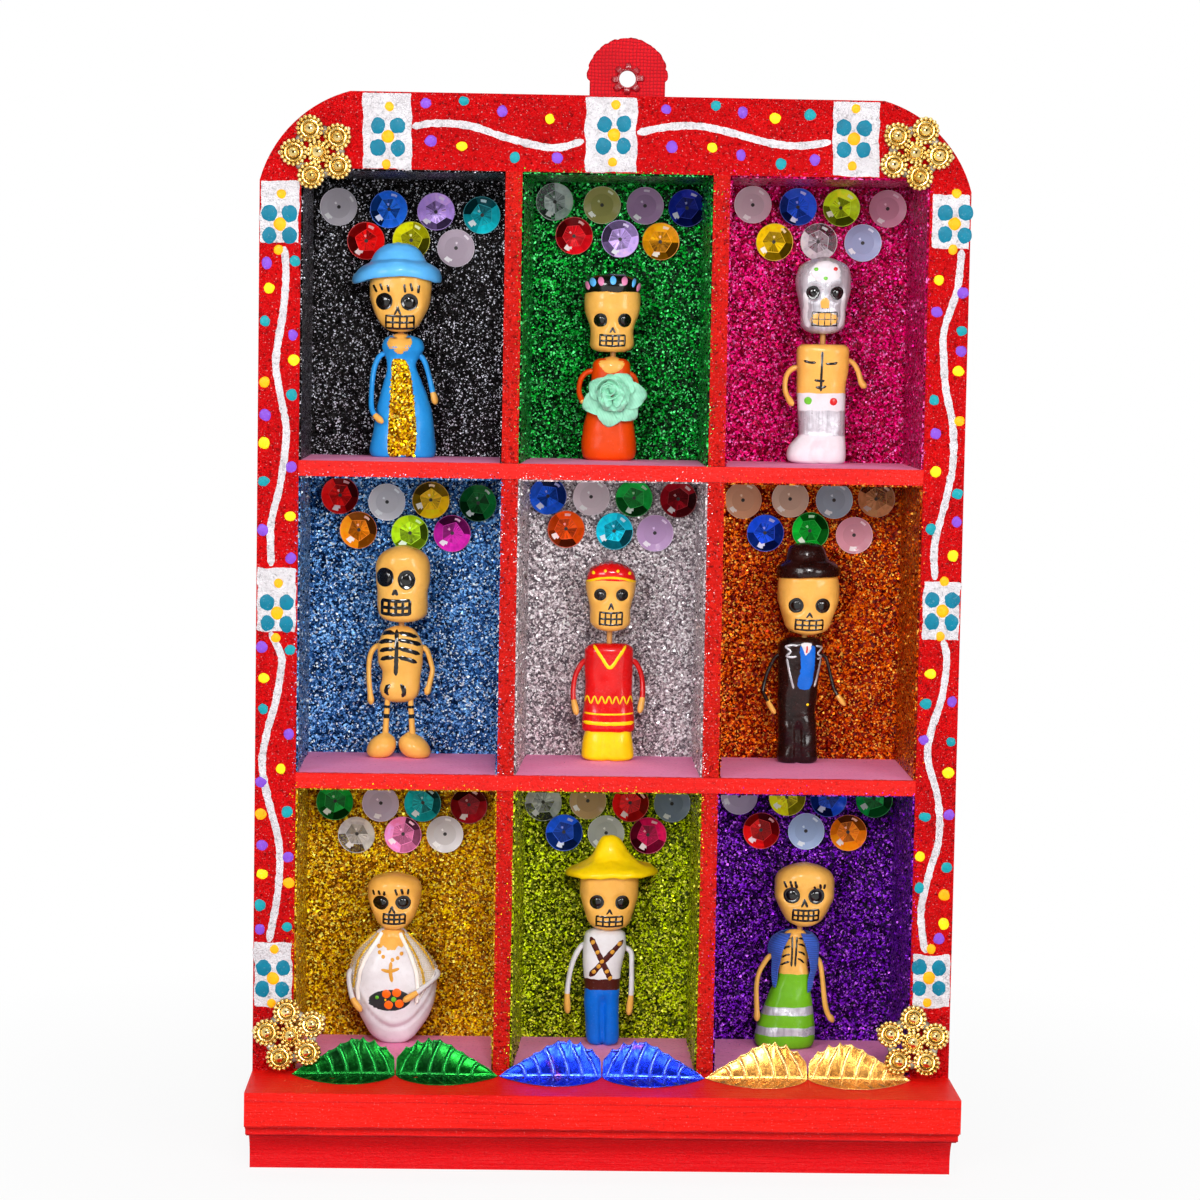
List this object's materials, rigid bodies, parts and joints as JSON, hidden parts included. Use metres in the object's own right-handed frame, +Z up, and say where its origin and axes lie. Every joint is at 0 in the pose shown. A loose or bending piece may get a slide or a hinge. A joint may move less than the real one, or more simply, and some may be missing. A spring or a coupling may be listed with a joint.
{
  "type": "retablo box",
  "caption": "Painted wooden shadow box with glittered niches, each holding a small painted clay figure under rows of sequins, on a moulded plinth, with a hanging eyelet.",
  "frame": {"origin": "middle of the bounding box at the bottom face", "axes": "+Z up, the niches open towards -Y, +X to the right as seen from the front"},
  "size_m": [0.145, 0.0582, 0.2363],
  "materials": {
    "side_left": "hand-brushed acrylic, satin",
    "side_right": "hand-brushed acrylic, satin",
    "top_rail": "hand-brushed acrylic, satin",
    "bottom_rail": "hand-brushed acrylic, satin",
    "back_panel": "bare hardboard",
    "shelf_upper": "hand-brushed acrylic, matte",
    "shelf_lower": "hand-brushed acrylic, matte",
    "divider_left": "hand-brushed acrylic, satin",
    "divider_right": "hand-brushed acrylic, satin",
    "plinth_moulding": "hand-brushed acrylic, satin",
    "brads": "bare",
    "hanger_tab": "painted woven cloth",
    "hanger_eyelet": "painted over",
    "glitter_black": "glued glitter",
    "glitter_green": "glued glitter",
    "glitter_magenta": "glued glitter",
    "glitter_blue": "glued glitter",
    "glitter_silver": "glued glitter",
    "glitter_copper": "glued glitter",
    "glitter_gold": "glued glitter",
    "glitter_lime": "glued glitter",
    "glitter_purple": "glued glitter",
    "sequins_upper": "iridescent film",
    "sequins_middle": "iridescent film",
    "sequins_lower": "iridescent film",
    "corner_rosettes": "gold plated",
    "leaves_green": "metallic foil",
    "leaves_blue": "metallic foil",
    "leaves_gold": "metallic foil",
    "blue_lady_head": "painted clay",
    "blue_lady_dress": "painted clay",
    "blue_hat": "painted clay",
    "rose_lady_head": "painted clay",
    "rose_lady_band": "painted clay",
    "rose_lady_dress": "painted clay",
    "cloth_rose": "gathered ribbon",
    "wrestler_head": "silver paint on clay",
    "wrestler_body": "painted clay",
    "skeleton_head": "painted clay",
    "skeleton_torso": "painted clay",
    "skeleton_legs": "painted clay",
    "poncho_head": "painted clay",
    "poncho_body": "painted clay",
    "gentleman_head": "painted clay",
    "gentleman_suit": "painted clay",
    "gentleman_hat": "painted clay",
    "white_lady_head": "painted clay",
    "white_lady_dress": "painted clay",
    "sheer_shawl": "sheer organza",
    "farmer_head": "painted clay",
    "farmer_body": "painted clay",
    "farmer_hat": "painted clay",
    "green_lady_head": "painted clay",
    "green_lady_body": "painted clay",
    "ribbon_vest": "ribbed ribbon",
    "arms_upper": "painted clay",
    "arms_middle": "painted clay",
    "arms_lower": "painted clay",
    "neck_wires": "wire"
  },
  "bodies": {
    "root": {"side_left": "side_left", "side_right": "side_right", "top_rail": "top_rail", "bottom_rail": "bottom_rail", "back_panel": "back_panel", "shelf_upper": "shelf_upper", "shelf_lower": "shelf_lower", "divider_left": "divider_left", "divider_right": "divider_right", "plinth_moulding": "plinth_moulding", "brads": "brads", "hanger_tab": "hanger_tab", "hanger_eyelet": "hanger_eyelet", "glitter_black": "glitter_black", "glitter_green": "glitter_green", "glitter_magenta": "glitter_magenta", "glitter_blue": "glitter_blue", "glitter_silver": "glitter_silver", "glitter_copper": "glitter_copper", "glitter_gold": "glitter_gold", "glitter_lime": "glitter_lime", "glitter_purple": "glitter_purple", "sequins_upper": "sequins_upper", "sequins_middle": "sequins_middle", "sequins_lower": "sequins_lower", "corner_rosettes": "corner_rosettes", "leaves_green": "leaves_green", "leaves_blue": "leaves_blue", "leaves_gold": "leaves_gold", "blue_lady_head": "blue_lady_head", "blue_lady_dress": "blue_lady_dress", "blue_hat": "blue_hat", "rose_lady_head": "rose_lady_head", "rose_lady_band": "rose_lady_band", "rose_lady_dress": "rose_lady_dress", "cloth_rose": "cloth_rose", "wrestler_head": "wrestler_head", "wrestler_body": "wrestler_body", "skeleton_head": "skeleton_head", "skeleton_torso": "skeleton_torso", "skeleton_legs": "skeleton_legs", "poncho_head": "poncho_head", "poncho_body": "poncho_body", "gentleman_head": "gentleman_head", "gentleman_suit": "gentleman_suit", "gentleman_hat": "gentleman_hat", "white_lady_head": "white_lady_head", "white_lady_dress": "white_lady_dress", "sheer_shawl": "sheer_shawl", "farmer_head": "farmer_head", "farmer_body": "farmer_body", "farmer_hat": "farmer_hat", "green_lady_head": "green_lady_head", "green_lady_body": "green_lady_body", "ribbon_vest": "ribbon_vest", "arms_upper": "arms_upper", "arms_middle": "arms_middle", "arms_lower": "arms_lower", "neck_wires": "neck_wires"}
  },
  "joints": []
}
